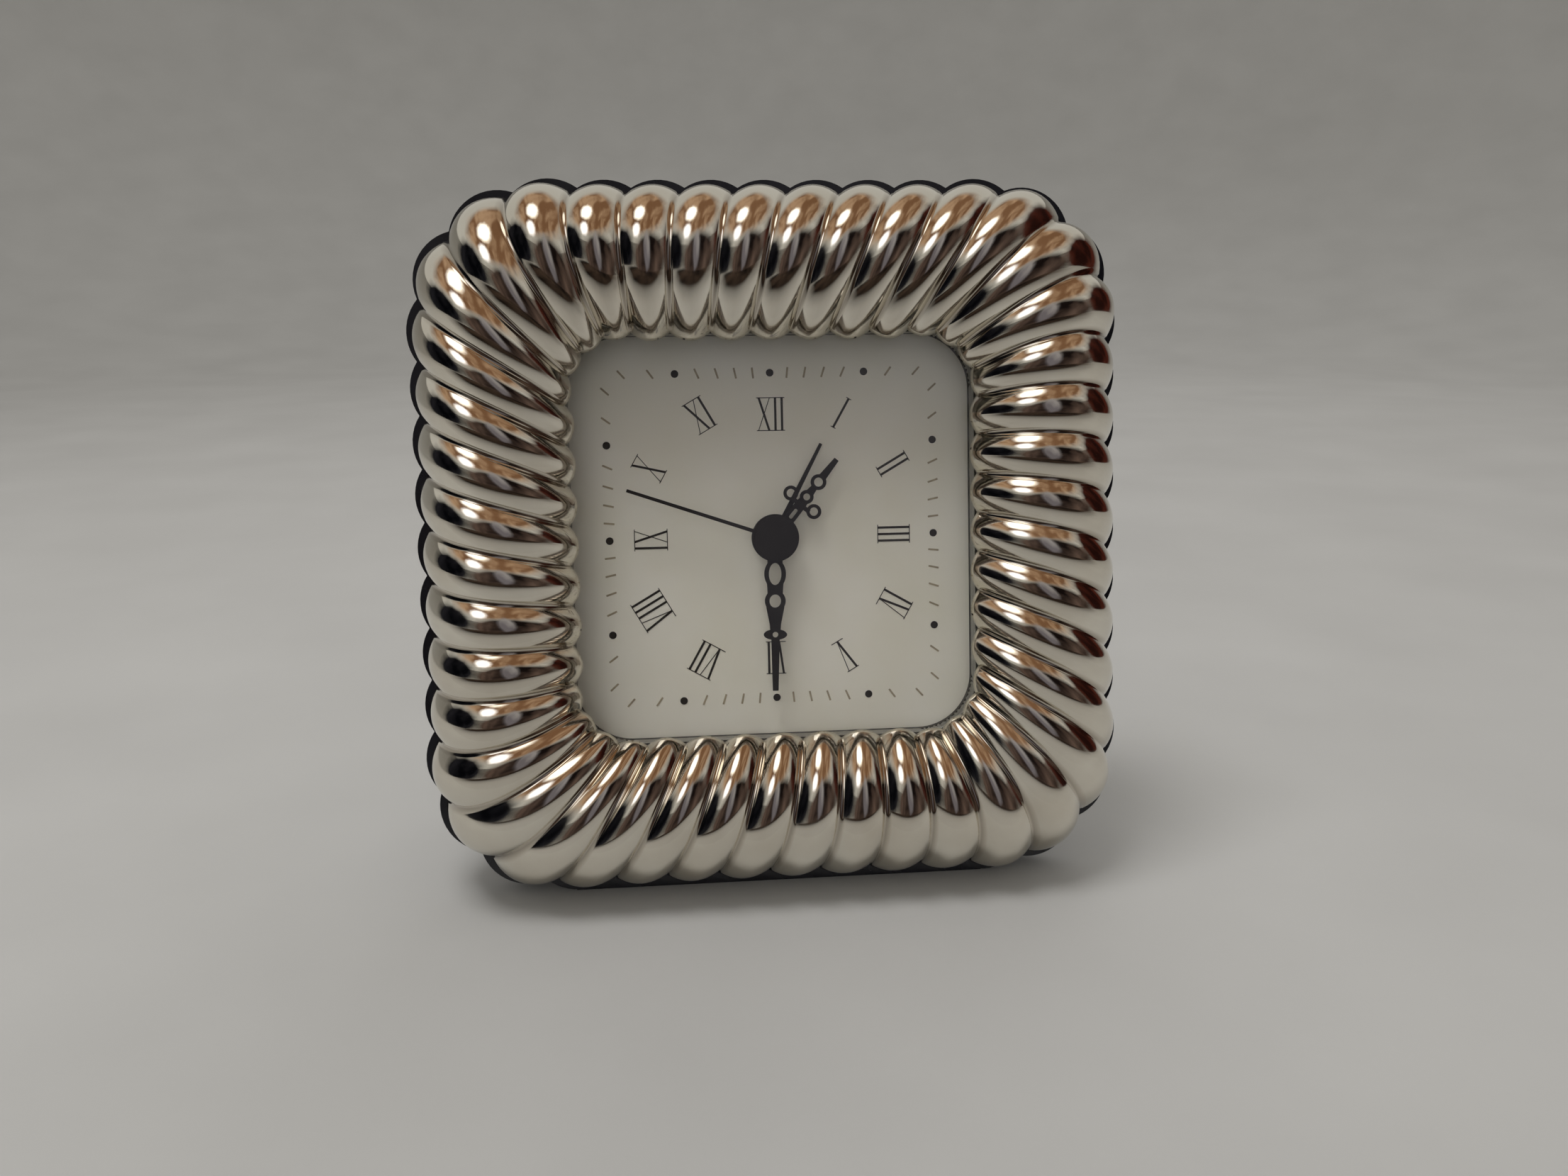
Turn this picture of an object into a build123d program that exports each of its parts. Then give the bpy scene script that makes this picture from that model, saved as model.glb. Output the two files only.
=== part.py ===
"""Free-standing square quartz alarm clock with a gadrooned silver bezel and a folding strut.

Every piece is drawn in the frame of the clock face (x to the right, y up the face, z out of the
dial towards the viewer, z = 0 where bezel and rear case meet) and is then set on the table, with
the face leaning back, front towards -Y and +Z up. Millimetres and degrees throughout.
"""
import os
from math import cos, hypot, pi, radians, sin

from build123d import *

os.makedirs("parts", exist_ok=True)

# Stance on the table
lean_deg = 10.0
strut_open_deg = 22.0
base_trim = 0.3
foot_bar_length = 66.0
foot_bar_setback = 0.6

# Gadrooned bezel
bezel_width = 108.4
bezel_corner_radius = 19.5
bezel_crest = 12.8
band_turn_deg = 140.0
window_width = 60.0
window_corner_radius = 9.6
window_edge_height = 4.7
window_edge_thickness = 0.6
lobes_per_side = 11
rim_lobe_depth = 0.175
window_lobe_depth = 0.26
lobe_twist = 1.0
lobe_phase = 0.45
rim_corner_lobes = 1.4
window_corner_lobes = 2.4
corner_fade_lobes = 1.4
bezel_wall = 1.6
core_height = 7.2
core_slope = 4.0

# Rear case and back cover
rim_margin = 1.1
rim_scallop_ratio = 0.15
rim_depth = 5.0
tray_margin = 19.0
tray_corner_radius = 21.0
tray_wall = 2.5
tray_edge_radius = 3.0
cover_thickness = 2.0
cover_post_margin = 8.0
cover_post_radius = 3.2
bezel_screw_y = 17.0

# Crystal, dial and what lies between them
crystal_gap = 0.2
crystal_flange = 1.4
crystal_thickness = 1.4
crystal_wall = 0.9
crystal_margin = 2.7
crystal_rise = 3.9
crystal_edge_radius = 0.6
crystal_inner_edge_radius = 0.3
crystal_crown_radius = 900.0
seat_margin = 4.0
seat_corner_radius = 10.0
seat_play = 0.3
gasket_width = 0.8
spacer_height = 1.1
dial_thickness = 0.6
dial_hole_radius = 3.1

# Dial printing
track_margin = 4.0
dot_radius = 0.6
tick_length = 1.7
tick_width = 0.3
numeral_inset = 6.5
numeral_height = 5.3
stroke_width = 0.36
hairline_width = 0.13
letter_gap = 0.55
print_thickness = 0.05

# Hands
hand_thickness = 0.3
alarm_hand_rise = 1.2
hour_hand_rise = 2.0
minute_hand_rise = 2.9
seconds_hand_rise = 3.9
alarm_hand_length = 16.6
hour_hand_length = 15.8
minute_hand_gap = 1.6
seconds_hand_gap = 1.7
seconds_hub_radius = 3.73
alarm_hand_deg = 28.0
hour_hand_deg = 40.0
minute_hand_deg = 181.0
seconds_hand_deg = 289.0

# Movement case
movement_width = 56.0
movement_corner_radius = 3.0
movement_play = 0.4
front_plate = 1.0
movement_wall = 1.0
movement_depth = 14.4
ear_reach = 5.5
ear_height = 7.0
ear_thickness = 2.0
ear_y = 12.0
ear_screw_reach = 3.0
ear_level = 7.5
boss_radius = 1.6
boss_level = 12.2

# Wheel train: tooth counts, centre distances and directions of the arbors
rotor_pinion_teeth = 10
intermediate_wheel_teeth = 60
intermediate_pinion_teeth = 10
seconds_wheel_teeth = 50
seconds_pinion_teeth = 8
third_wheel_teeth = 60
third_pinion_teeth = 8
centre_wheel_teeth = 64
cannon_teeth = 10
motion_wheel_teeth = 30
motion_pinion_teeth = 10
hour_wheel_teeth = 40
setting_pinion_teeth = 10
alarm_pinion_teeth = 12
alarm_wheel_teeth = 48
third_distance = 13.0
intermediate_distance = 13.5
rotor_distance = 10.5
motion_distance = 13.5
setting_distance = 13.5
alarm_distance = 13.5
third_deg = 175.0
intermediate_deg = 100.0
rotor_deg = 140.0
motion_deg = -10.0
setting_deg = 60.0
alarm_deg = 45.0
wheel_thickness = 0.75
level_gap = 0.33
addendum = 0.7
dedendum = 1.0
pinion_root_share = 0.20
pinion_tip_share = 0.12
wheel_root_share = 0.27
wheel_tip_share = 0.11

# Arbors, tubes and pivots
running_clearance = 0.05
seconds_arbor_radius = 0.45
tube_wall = 0.55
arbor_radius = 0.6
setting_arbor_radius = 1.2
pivot_radius = 0.45
pivot_length = 1.5

# Knobs, switch, battery and door
knob_radius = 4.6
knob_height = 4.0
knob_gap = 0.4
knob_flutes = 24
switch_wall_gap = 6.0
switch_bay_gap = 6.2
switch_travel = 3.0
switch_stem_width = 2.2
switch_stem_length = 3.0
cell_radius = 5.25
cell_length = 44.5
cell_wall_gap = 0.35
bay_wall_gap = 0.95
door_width = 49.8
door_height = 12.0
door_thickness = 1.2
door_play = 0.15
rail_width = 1.6

# Strut
hinge_y = 22.0
hinge_offset = 2.9
leg_margin = 8.6
leg_width = 6.0
leg_thickness = 3.0
knuckle_radius = 2.5
hinge_pin_radius = 1.0
lug_thickness = 2.2
lug_gap = 0.2
strut_bar_height = 10.0
strut_stop_gap = 0.05

# Screws
screw_radius = 1.2
screw_head_radius = 2.2
screw_head_height = 1.3
screw_play = 0.04

# Levels behind the dial
dial_front = -(crystal_flange + spacer_height)
dial_back = dial_front - dial_thickness
plate_back = dial_back - front_plate
movement_back = dial_back - movement_depth
movement_inside = movement_back + movement_wall
cover_front = movement_back + cover_thickness
movement_half = movement_width / 2
inside_half = movement_half - movement_wall

# Places that follow the movement and the window
tray_half = movement_half + tray_margin
cavity_half = tray_half - tray_wall
cavity_radius = tray_corner_radius - tray_wall
cover_screw_offset = movement_half + cover_post_margin
leg_x = movement_half + leg_margin
cell_y = cell_radius + cell_wall_gap - inside_half
bay_wall_y = cell_y + cell_radius + bay_wall_gap
switch_x = inside_half - switch_wall_gap
switch_y = bay_wall_y + switch_bay_gap
track_half = window_width / 2 - track_margin
numeral_half = track_half - numeral_inset
minute_hand_length = track_half - minute_hand_gap
seconds_hand_length = track_half - seconds_hand_gap


def level(number):
    """Front and back of one layer of wheels, counted from the dial."""
    front = plate_back - 0.25 - number * (wheel_thickness + level_gap)
    return front, front - wheel_thickness


ALARM, HOUR, MOTION, CENTRE, THIRD, SECONDS, INTERMEDIATE = range(7)


def polar(origin, distance, degrees_):
    """A point at a distance and direction from another point."""
    angle = radians(degrees_)
    return origin[0] + distance * cos(angle), origin[1] + distance * sin(angle)


centre = (0.0, 0.0)
third_at = polar(centre, third_distance, third_deg)
intermediate_at = polar(centre, intermediate_distance, intermediate_deg)
rotor_at = polar(intermediate_at, rotor_distance, rotor_deg)
motion_at = polar(centre, motion_distance, motion_deg)
setting_at = polar(motion_at, setting_distance, setting_deg)
alarm_at = polar(centre, alarm_distance, alarm_deg)


def cylinder(at, z0, z1, radius):
    """A round bar along z between two levels."""
    return Pos(at[0], at[1], (z0 + z1) / 2) * Cylinder(radius, abs(z1 - z0))


def block(x0, x1, y0, y1, z0, z1):
    """A box between two corners."""
    return Pos((x0 + x1) / 2, (y0 + y1) / 2, (z0 + z1) / 2) * Box(abs(x1 - x0), abs(y1 - y0), abs(z1 - z0))


def cushion(half, radius, z0, z1):
    """A square prism with round corners."""
    return Pos(0, 0, min(z0, z1)) * extrude(RectangleRounded(2 * half, 2 * half, radius), abs(z1 - z0))


def frustum(half0, radius0, z0, half1, radius1, z1):
    """A round-cornered square that changes size between two levels."""
    low = Pos(0, 0, z0) * RectangleRounded(2 * half0, 2 * half0, radius0)
    high = Pos(0, 0, z1) * RectangleRounded(2 * half1, 2 * half1, radius1)
    return loft([low, high], ruled=True)


pieces = {}

# The gadrooned form: lobes spaced along a rounded square, fewer in its corners at the rim
lobes = 4 * lobes_per_side
mid_side = lobes_per_side / 2


def side_share(corner):
    """Lobes' worth of straight side between its middle and a corner of so many lobes."""
    return mid_side - (corner + corner_fade_lobes) / 2


def corner_weight(u, corner):
    """1 in a corner, 0 along a side, smooth between; u counts lobes from mid-side."""
    x = (abs(u - mid_side) - corner / 2) / corner_fade_lobes
    x = min(max(x, 0.0), 1.0)
    return 1.0 - x * x * (3.0 - 2.0 * x)


def corner_passed(u, corner):
    """Lobes' worth of corner passed since mid-side."""
    d = abs(u - mid_side)
    x = min(max((d - corner / 2) / corner_fade_lobes, 0.0), 1.0)
    away = min(d, corner / 2) + corner_fade_lobes * (x - x ** 3 + x ** 4 / 2)
    return (corner + corner_fade_lobes) / 2 + (away if u > mid_side else -away)


def contour(p, half, radius, corner):
    """Point, outward direction and lobe pitch on a rounded square; p counts lobes clockwise."""
    p = p % lobes
    quarter = int(p // lobes_per_side)
    u = p - quarter * lobes_per_side
    corner_share = corner + corner_fade_lobes
    passed = corner_passed(u, corner)
    turn = pi / 2 * passed / corner_share
    run = (u - passed) / side_share(corner)
    x, y = (run, 1.0) if run < 1.0 else (1.0, 2.0 - run)
    straight = half - radius
    nx, ny = sin(turn), cos(turn)
    x, y = straight * x + radius * nx, straight * y + radius * ny
    for _ in range(quarter):
        x, y = y, -x
        nx, ny = ny, -nx
    weight = corner_weight(u, corner)
    pitch = straight * (1 - weight) / side_share(corner) + radius * weight * pi / 2 / corner_share
    return x, y, nx, ny, pitch


rim_step = rim_lobe_depth / side_share(rim_corner_lobes)
window_step = window_lobe_depth / side_share(window_corner_lobes)
outer_half = (bezel_width / 2 + rim_step * bezel_corner_radius) / (1 + rim_step)
inner_half = (window_width / 2 - window_step * window_corner_radius) / (1 - window_step)
band_turn = radians(band_turn_deg)
band_reach = 1 - cos(band_turn)
band_half = (outer_half - inner_half) / band_reach
middle_half = outer_half - band_half
middle_radius = (bezel_corner_radius + window_corner_radius) / 2
middle_share = side_share((rim_corner_lobes + window_corner_lobes) / 2)
crest_lobe = (rim_lobe_depth + window_lobe_depth) / 2 / middle_share * (middle_half - middle_radius)
level_rise = bezel_crest - crest_lobe - window_edge_height / band_reach
band_rise = level_rise / (1 - sin(band_turn) / band_reach)
band_drop = band_rise * sin(band_turn) - window_edge_height


def bezel_point(lobe, across, t):
    """Point on the bezel: across one lobe (0 to 1), along its length from rim (0) to window (1)."""
    angle = band_turn * t
    half = middle_half + band_half * cos(angle)
    share = (1 - cos(angle)) / band_reach
    radius = bezel_corner_radius + (window_corner_radius - bezel_corner_radius) * share
    corner = rim_corner_lobes + (window_corner_lobes - rim_corner_lobes) * share
    x, y, nx, ny, pitch = contour(lobe + across + lobe_phase - lobe_twist * t, half, radius, corner)
    z = band_rise * sin(angle) - band_drop * share
    out = band_rise * cos(angle) - band_drop / band_reach * sin(angle)
    up = band_half * sin(angle)
    size = hypot(out, up)
    depth = rim_lobe_depth + (window_lobe_depth - rim_lobe_depth) * share
    rise = depth * pitch * 4 * across * (1 - across)
    return Vector(x + rise * out / size * nx, y + rise * out / size * ny, z + rise * up / size)


def lobe_line(lobe, across, t0, t1):
    """Four control points of a smooth line along a lobe."""
    step = 0.0001
    start = bezel_point(lobe, across, t0)
    end = bezel_point(lobe, across, t1)
    start_run = (bezel_point(lobe, across, t0 + step) - bezel_point(lobe, across, t0 - step)) * (0.5 / step)
    end_run = (bezel_point(lobe, across, t1 + step) - bezel_point(lobe, across, t1 - step)) * (0.5 / step)
    third = (t1 - t0) / 3
    return [start, start + start_run * third, end - end_run * third, end]


def crown(left, ridge, right):
    """Middle control points that carry a lobe over its ridge."""
    return [m * 2 - (a + b) * 0.5 for a, m, b in zip(left, ridge, right)]


spans = 4
bezel_faces = []
rim_edges = []
window_edges = []
for lobe in range(lobes):
    for span in range(spans):
        t0, t1 = span / spans, (span + 1) / spans
        left = lobe_line(lobe, 0.0, t0, t1)
        right = lobe_line((lobe + 1) % lobes, 0.0, t0, t1)
        middle = crown(left, lobe_line(lobe, 0.5, t0, t1), right)
        bezel_faces.append(Face.make_bezier_surface([left, middle, right]))
        if span == 0:
            rim_edges.append(Edge.make_bezier(left[0], middle[0], right[0]))
    top = [left[3], middle[3], right[3]]
    low = [Vector(point.X, point.Y, 0) for point in top]
    bezel_faces.append(Face.make_bezier_surface([top, low]))
    window_edges.append(Edge.make_bezier(*low))
bezel_faces.append(Face(Wire(rim_edges), [Wire(window_edges)]))
bezel = Solid(Shell(bezel_faces))
if bezel.volume < 0:
    bezel = -bezel

window_edge_bottom = window_edge_height - window_edge_thickness
hollow_out = outer_half - bezel_wall
hollow_in = inner_half + bezel_wall + 0.6
hollow_out_radius = bezel_corner_radius - bezel_wall
hollow_in_radius = window_corner_radius + bezel_wall + 0.6
shelf_half = hollow_in + 2.0


def bezel_hollow(gap):
    """The ring inside the bezel, smaller all round by a gap."""
    outside = frustum(
        hollow_out - gap, hollow_out_radius - gap, 0,
        hollow_out - core_slope - gap, hollow_out_radius - core_slope - gap, core_height - gap)
    inside = frustum(
        hollow_in + gap, hollow_in_radius + gap, 0,
        hollow_in + core_slope + gap, hollow_in_radius + core_slope + gap, core_height - gap)
    return outside - inside


shelf = cushion(shelf_half, hollow_in_radius + 2.0, 0, window_edge_bottom)
pieces["gadrooned_bezel"] = bezel - bezel_hollow(0) - shelf

# Crystal seat: gasket, crystal, spacer and dial share one width
seat_half = window_width / 2 + seat_margin
layer_half = seat_half - seat_play
layer_radius = seat_corner_radius - seat_play
dome_half = window_width / 2 + crystal_margin
dome_radius = window_corner_radius
glass_inner_half = dome_half - crystal_wall
glass_inner_radius = dome_radius - crystal_wall
gasket_half = dome_half + crystal_gap
gasket_radius = dome_radius + crystal_gap

gasket = cushion(gasket_half + gasket_width, gasket_radius + gasket_width, 0, window_edge_bottom)
pieces["window_gasket"] = gasket - cushion(gasket_half, gasket_radius, 0, window_edge_bottom)


def dome(half, radius, top, edge_radius):
    """A cushion with a slightly crowned top and a rounded edge."""
    body = cushion(half, radius, -crystal_flange, top)
    crowned = body & (Pos(0, 0, top - crystal_crown_radius) * Sphere(crystal_crown_radius))
    upper = [edge for edge in crowned.edges() if edge.center().Z > top / 2]
    rim = [edge for edge in upper if edge.bounding_box().size.Z < top / 2]
    return fillet(rim, edge_radius)


crystal = cushion(layer_half, layer_radius, -crystal_flange, 0)
crystal += dome(dome_half, dome_radius, crystal_rise, crystal_edge_radius)
crystal -= dome(
    glass_inner_half, glass_inner_radius, crystal_rise - crystal_thickness, crystal_inner_edge_radius)
pieces["crystal"] = crystal

spacer = cushion(layer_half, layer_radius, dial_front, -crystal_flange)
spacer_hole = cushion(glass_inner_half, glass_inner_radius, dial_front, -crystal_flange)
pieces["dial_spacer"] = spacer - spacer_hole

dial = cushion(layer_half, layer_radius, dial_back, dial_front)
pieces["dial_plate"] = dial - cylinder(centre, dial_back, dial_front, dial_hole_radius)

# Bezel core with its screws
core = bezel_hollow(0.2) + cushion(shelf_half - 0.2, hollow_in_radius + 1.8, 0, window_edge_bottom)
core -= cushion(gasket_half + gasket_width + 0.2, gasket_radius + gasket_width + 0.2, 0, window_edge_bottom)
bezel_screw_x = (hollow_in + cavity_half) / 2
bezel_screw_places = [(sx * bezel_screw_x, sy * bezel_screw_y) for sx in (-1, 1) for sy in (-1, 1)]
bezel_screw_tip = core_height - 2.0
for at in bezel_screw_places:
    core -= cylinder(at, 0, bezel_screw_tip + 0.3, screw_radius + screw_play)
pieces["bezel_core"] = core


def screw(at, head_at, tip_at, head_side):
    """A screw along z with a slotted round head."""
    head_end = head_at + head_side * screw_head_height
    body = cylinder(at, head_at, head_end, screw_head_radius)
    slot = block(at[0] - screw_head_radius, at[0] + screw_head_radius, at[1] - 0.3, at[1] + 0.3,
                 head_end - head_side * 0.5, head_end)
    return body - slot + cylinder(at, head_at, tip_at, screw_radius)


pieces["bezel_screws"] = [screw(at, -rim_depth, bezel_screw_tip, -1) for at in bezel_screw_places]

# Rear case: scalloped rim, smooth tray and a foot bar cut level with the table
rim_radius = bezel_corner_radius + rim_margin
rim_reach = bezel_width / 2 + rim_margin
scallop_step = rim_scallop_ratio / side_share(rim_corner_lobes)
rim_half = (rim_reach + scallop_step * rim_radius) / (1 + scallop_step)
table_drop = rim_reach * cos(radians(lean_deg)) + rim_depth * sin(radians(lean_deg)) - base_trim


def rim_point(p, rise):
    """Point of the scalloped outline, raised above the valleys by a share of the lobe depth."""
    x, y, nx, ny, pitch = contour(p + lobe_phase, rim_half, rim_radius, rim_corner_lobes)
    height = rise * rim_scallop_ratio * pitch
    return Vector(x + height * nx, y + height * ny, 0)


rim_arcs = []
for lobe in range(lobes):
    start = rim_point(lobe, 0)
    end = rim_point((lobe + 1) % lobes, 0)
    rim_arcs.append(Edge.make_three_point_arc(start, rim_point(lobe + 0.5, 1), end))
rim = extrude(Face(Wire(rim_arcs)), -rim_depth, dir=(0, 0, 1))

lean_up = (0, cos(radians(lean_deg)), sin(radians(lean_deg)))
table_plane = Plane(origin=(0, -table_drop / cos(radians(lean_deg)), 0), x_dir=(1, 0, 0), z_dir=lean_up)
table = table_plane.location * Pos(0, 0, -50) * Box(400, 400, 100)

tray = cushion(tray_half, tray_corner_radius, movement_back, -rim_depth)
tray = fillet(tray.edges().group_by(Axis.Z)[0], tray_edge_radius - 0.5)
foot_bar = block(
    -foot_bar_length / 2, foot_bar_length / 2, -rim_reach - 3, -tray_half, -rim_depth, -foot_bar_setback)
case = rim + tray + foot_bar - table
case -= cushion(seat_half, seat_corner_radius, dial_back, 0)
case -= cushion(movement_half + movement_play, movement_corner_radius + movement_play, -rim_depth, dial_back)
case -= cushion(cavity_half, cavity_radius, movement_back, -rim_depth)

ear_x = movement_half + ear_screw_reach
ear_places = [(sx * ear_x, sy * ear_y) for sx in (-1, 1) for sy in (-1, 1)]
ear_front = dial_back - ear_level
cover_places = [(sx * cover_screw_offset, sy * cover_screw_offset) for sx in (-1, 1) for sy in (-1, 1)]
for at in ear_places:
    case += cylinder(at, -rim_depth, ear_front, screw_head_radius)
for at in cover_places:
    post = cylinder(at, -rim_depth, cover_front, cover_post_radius)
    case += post
for at in ear_places:
    case -= cylinder(at, ear_front, -rim_depth - 0.6, screw_radius + screw_play)
for at in cover_places:
    case -= cylinder(at, cover_front, cover_front + 6.3, screw_radius + screw_play)
for at in bezel_screw_places:
    case -= cylinder(at, -rim_depth, 0, screw_radius + 0.2)
pieces["rear_case"] = case
pieces["movement_ear_screws"] = [
    screw(at, ear_front - ear_thickness, -rim_depth - 1.0, -1) for at in ear_places]

# Back cover with hinge lugs
cover_half = cavity_half - 0.25
cover = cushion(cover_half, cavity_radius - 0.25, movement_back, cover_front)
cover -= cushion(
    movement_half + movement_play, movement_corner_radius + movement_play, movement_back, cover_front)
hinge_z = movement_back - hinge_offset
lug_in = leg_x - leg_width / 2 - lug_gap
lug_out = leg_x + leg_width / 2 + lug_gap


def bar_x(x0, x1, y, z, radius):
    """A round bar along x."""
    return Pos((x0 + x1) / 2, y, z) * Rot(0, 90, 0) * Cylinder(radius, abs(x1 - x0))


for side in (-1, 1):
    for x0, x1 in ((lug_in - lug_thickness, lug_in), (lug_out, lug_out + lug_thickness)):
        lug = block(
            side * x0, side * x1, hinge_y - knuckle_radius, hinge_y + knuckle_radius, hinge_z, movement_back)
        lug += bar_x(side * x0, side * x1, hinge_y, hinge_z, knuckle_radius)
        cover += lug
    cover -= bar_x(
        side * (lug_in - lug_thickness), side * (lug_out + lug_thickness), hinge_y, hinge_z,
        hinge_pin_radius + 0.01)
head_seat = movement_back + screw_head_height
for at in cover_places:
    cover -= cylinder(at, movement_back, head_seat, screw_head_radius + 0.15)
    cover -= cylinder(at, head_seat, cover_front, screw_radius + 0.15)
pieces["back_cover"] = cover
pieces["cover_screws"] = [screw(at, head_seat, cover_front + 6.0, -1) for at in cover_places]
pieces["strut_hinge_pins"] = [
    bar_x(
        side * (lug_in - lug_thickness), side * (lug_out + lug_thickness), hinge_y, hinge_z, hinge_pin_radius)
    for side in (-1, 1)]

# Strut leg: two legs and a foot bar, drawn folded, then opened to its stop
open_angle = radians(strut_open_deg)
heel = (hinge_offset - strut_stop_gap - leg_thickness / 2 * cos(open_angle)) / sin(open_angle)
hinge_height = hinge_y * cos(radians(lean_deg)) + hinge_z * sin(radians(lean_deg)) + table_drop
leg_length = hinge_height / cos(radians(strut_open_deg - lean_deg))
leg_end = hinge_y - leg_length - 4.0
leg_front = hinge_z + leg_thickness / 2
leg_back = hinge_z - leg_thickness / 2
leg_out = leg_x + leg_width / 2
bar_top = hinge_y - leg_length + strut_bar_height
strut_outline = Pos(0, (leg_end + hinge_y) / 2) * Rectangle(2 * leg_out, hinge_y - leg_end)
strut_window = Pos(0, (bar_top + hinge_y + 20) / 2) * RectangleRounded(
    2 * (leg_x - leg_width / 2), hinge_y + 20 - bar_top, 8.0)
strut = Pos(0, 0, leg_back) * extrude(strut_outline - strut_window, leg_thickness)
for side in (-1, 1):
    inner, outer = side * (leg_x - leg_width / 2), side * leg_out
    strut += block(inner, outer, hinge_y, hinge_y + heel, leg_back, leg_front)
    strut += bar_x(inner, outer, hinge_y, hinge_z, knuckle_radius)
    strut -= bar_x(inner, outer, hinge_y, hinge_z, hinge_pin_radius + running_clearance)
strut = Pos(0, hinge_y, hinge_z) * Rot(strut_open_deg, 0, 0) * Pos(0, -hinge_y, -hinge_z) * strut
pieces["strut_leg"] = strut - table


# Toothed wheels
def module(distance, teeth_a, teeth_b):
    """Tooth module of a pair at a centre distance."""
    return 2 * distance / (teeth_a + teeth_b)


def toothed(at, teeth, size, phase, z0, z1):
    """A toothed disc between two levels, one tooth pointing at the phase angle."""
    root_share, tip_share = (
        (pinion_root_share, pinion_tip_share) if teeth < 20 else (wheel_root_share, wheel_tip_share))
    root = size * (teeth / 2 - dedendum)
    tip = size * (teeth / 2 + addendum)
    points = []
    for tooth in range(teeth):
        for radius, share in ((root, -root_share), (tip, -tip_share), (tip, tip_share), (root, root_share)):
            points.append(polar(at, radius, phase + (tooth + share) * 360 / teeth))
    outline = make_face(Polyline(*points, close=True))
    return Pos(0, 0, min(z0, z1)) * extrude(outline, abs(z1 - z0))


def direction(a, b):
    """Direction in degrees from one arbor to another."""
    return Vector(1, 0, 0).get_signed_angle(Vector(b[0] - a[0], b[1] - a[1], 0), Vector(0, 0, 1))


def mesh(phase, teeth, at, other_teeth, other_at):
    """Phase of a wheel whose gap faces the tooth of its partner."""
    heading = direction(at, other_at)
    offset = (phase - heading) * teeth / 360
    return heading + 180 - (offset + 0.5) * 360 / other_teeth


def front_pivot(at, back):
    """The front end of an arbor, running in the front plate."""
    return cylinder(at, back, plate_back + 0.8, pivot_radius)


def rear_pivot(at, front):
    """The rear end of an arbor, running in a boss of the movement case."""
    return cylinder(at, front, dial_back - boss_level - pivot_length, pivot_radius)


boss_front = dial_back - boss_level
cannon_bore = seconds_arbor_radius + running_clearance
cannon_radius = cannon_bore + tube_wall
hour_bore = cannon_radius + running_clearance
hour_radius = hour_bore + tube_wall
alarm_bore = hour_radius + running_clearance
alarm_radius = alarm_bore + tube_wall
bush_bore = alarm_radius + running_clearance


def hand_top(rise):
    """Level of the outer face of a hand."""
    return dial_front + rise + hand_thickness / 2


# Alarm wheel with its tube, and the alarm setting arbor
alarm_module = module(alarm_distance, alarm_pinion_teeth, alarm_wheel_teeth)
front, back = level(ALARM)
alarm_wheel = toothed(centre, alarm_wheel_teeth, alarm_module, 0, front, back)
alarm_wheel += cylinder(centre, back, hand_top(alarm_hand_rise), alarm_radius)
pieces["alarm_wheel"] = alarm_wheel - cylinder(centre, back, hand_top(alarm_hand_rise), alarm_bore)

knob_front = movement_back - knob_gap
knob_back = knob_front - knob_height
arbor_end = knob_back + 1.0
alarm_pinion_phase = mesh(0, alarm_wheel_teeth, centre, alarm_pinion_teeth, alarm_at)
alarm_arbor = toothed(alarm_at, alarm_pinion_teeth, alarm_module, alarm_pinion_phase, front, back)
alarm_arbor += cylinder(alarm_at, back, arbor_end, setting_arbor_radius) + front_pivot(alarm_at, front)
pieces["alarm_setting_arbor"] = alarm_arbor

# Hour wheel, motion wheel, cannon pinion and time setting arbor
motion_module = module(motion_distance, cannon_teeth, motion_wheel_teeth)
hour_module = module(motion_distance, motion_pinion_teeth, hour_wheel_teeth)
motion_phase = mesh(0, cannon_teeth, centre, motion_wheel_teeth, motion_at)
hour_front, hour_back = level(HOUR)
motion_front, motion_back = level(MOTION)
centre_front, centre_back = level(CENTRE)

hour_wheel = toothed(centre, hour_wheel_teeth, hour_module, 0, hour_front, hour_back)
hour_wheel += cylinder(centre, hour_back, hand_top(hour_hand_rise), hour_radius)
pieces["hour_wheel"] = hour_wheel - cylinder(centre, hour_back, hand_top(hour_hand_rise), hour_bore)

cannon = toothed(centre, cannon_teeth, motion_module, 0, motion_front, motion_back)
cannon += cylinder(centre, centre_back, hand_top(minute_hand_rise), cannon_radius)
pieces["cannon_pinion"] = cannon - cylinder(centre, centre_back, hand_top(minute_hand_rise), cannon_bore)

motion_pinion_phase = mesh(0, hour_wheel_teeth, centre, motion_pinion_teeth, motion_at)
motion = toothed(motion_at, motion_wheel_teeth, motion_module, motion_phase, motion_front, motion_back)
motion += toothed(
    motion_at, motion_pinion_teeth, hour_module, motion_pinion_phase, hour_front, motion_front)
motion += cylinder(motion_at, motion_back, boss_front + 0.2, arbor_radius)
motion += front_pivot(motion_at, hour_front) + rear_pivot(motion_at, boss_front + 0.2)
pieces["motion_wheel"] = motion

setting_phase = mesh(motion_phase, motion_wheel_teeth, motion_at, setting_pinion_teeth, setting_at)
setting_module = module(setting_distance, setting_pinion_teeth, motion_wheel_teeth)
setting = toothed(setting_at, setting_pinion_teeth, setting_module, setting_phase, motion_front, motion_back)
setting += cylinder(setting_at, motion_back, arbor_end, setting_arbor_radius)
setting += front_pivot(setting_at, motion_front)
pieces["time_setting_arbor"] = setting

# Going train: centre wheel, third wheel, seconds wheel, intermediate wheel and rotor
third_module = module(third_distance, seconds_pinion_teeth, third_wheel_teeth)
centre_module = module(third_distance, third_pinion_teeth, centre_wheel_teeth)
third_front, third_back = level(THIRD)
seconds_front, seconds_back = level(SECONDS)
relay_front, relay_back = level(INTERMEDIATE)

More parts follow.
